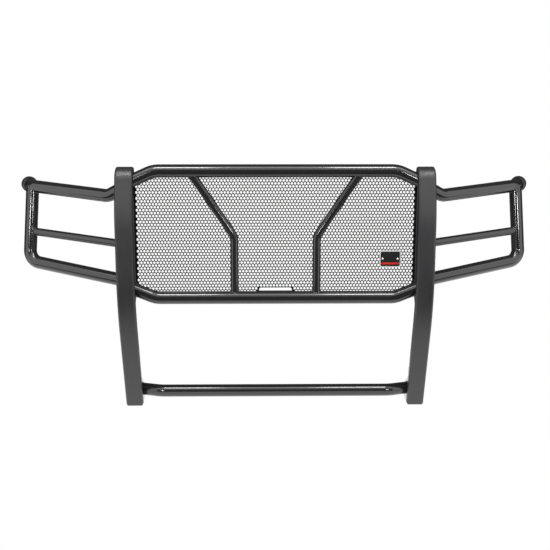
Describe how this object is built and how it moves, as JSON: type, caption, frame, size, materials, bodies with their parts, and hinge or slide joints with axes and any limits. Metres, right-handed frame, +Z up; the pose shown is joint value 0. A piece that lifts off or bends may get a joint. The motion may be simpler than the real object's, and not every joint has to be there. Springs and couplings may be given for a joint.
{
  "type": "front grille guard",
  "caption": "Black tubular front grille guard with two rubber-faced uprights, a perforated centre panel and swept-back headlight guards.",
  "frame": {"origin": "centre of the bottom of the whole guard's box, midway between the uprights", "axes": "+X to the right as seen from in front of the truck, -Y forwards out of the guard's face, +Z up"},
  "size_m": [2.0606, 0.438, 0.9984],
  "materials": {
    "black_gloss_coat": "gloss",
    "black_rubber": "satin",
    "black_plastic": "satin",
    "zinc_steel": "satin",
    "badge_black": "gloss",
    "badge_silver": "polished",
    "badge_red": "gloss"
  },
  "bodies": {
    "root": {"left_upright_channel": "black_gloss_coat", "left_rubber_facing": "black_rubber", "left_grille_bar": "black_gloss_coat", "left_brush_top_tube": "black_gloss_coat", "left_brush_loop_tube": "black_gloss_coat", "left_brush_middle_bar": "black_gloss_coat", "left_tube_end_cap": "black_plastic", "left_frame_bracket": "black_gloss_coat", "right_upright_channel": "black_gloss_coat", "right_rubber_facing": "black_rubber", "right_grille_bar": "black_gloss_coat", "right_brush_top_tube": "black_gloss_coat", "right_brush_loop_tube": "black_gloss_coat", "right_brush_middle_bar": "black_gloss_coat", "right_tube_end_cap": "black_plastic", "right_frame_bracket": "black_gloss_coat", "top_crossbar": "black_gloss_coat", "lower_grille_tube": "black_gloss_coat", "bottom_crossbar": "black_gloss_coat", "punch_plate_grille": "black_gloss_coat", "bracket_bolts": "zinc_steel", "bracket_flat_washers": "zinc_steel", "bracket_lock_washers": "zinc_steel", "bracket_nuts": "zinc_steel", "badge_plate": "badge_black", "badge_rim": "badge_silver", "badge_stripe": "badge_red", "badge_screws": "badge_silver", "rubber_facing_clips": "black_plastic"}
  },
  "joints": []
}
